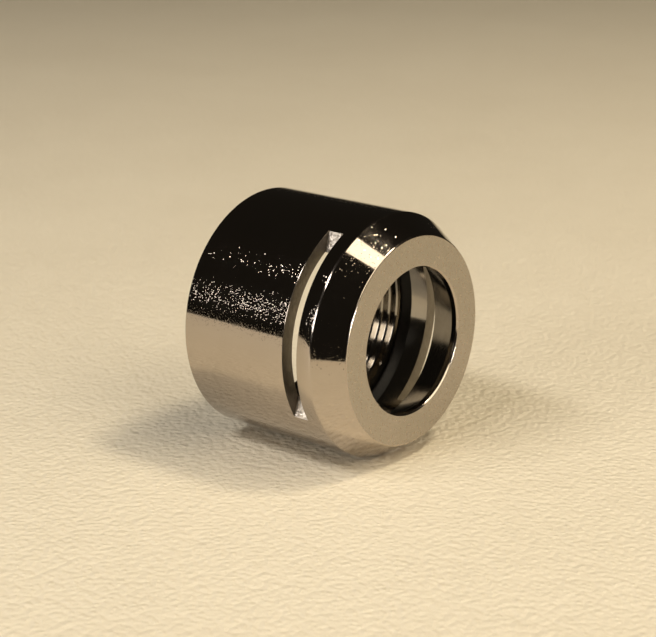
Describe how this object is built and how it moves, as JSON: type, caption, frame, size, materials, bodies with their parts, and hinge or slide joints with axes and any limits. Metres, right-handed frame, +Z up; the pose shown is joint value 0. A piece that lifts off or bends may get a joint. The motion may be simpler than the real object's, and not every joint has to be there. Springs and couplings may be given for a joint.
{
  "type": "threaded shaft collar",
  "caption": "Round turned collar nut with a conical nose, a short plain bore that opens into a conical seat, an internal fine thread and opposed side slots for a spanner.",
  "frame": {"origin": "on the collar's axis, half way along its length", "axes": "+X along the axis out of the front face with the conical nose, -X out of the threaded rear; +Z up, with the slots' centre line tilted 17 degrees from horizontal"},
  "size_m": [0.02, 0.026, 0.026],
  "materials": {
    "nickel_plate": "bright nickel plate over turned steel, fine machining marks on the front face",
    "elastic_ring": "dark satin elastomer"
  },
  "bodies": {
    "root": {"collar_body": "nickel_plate", "locking_ring": "elastic_ring"}
  },
  "joints": []
}
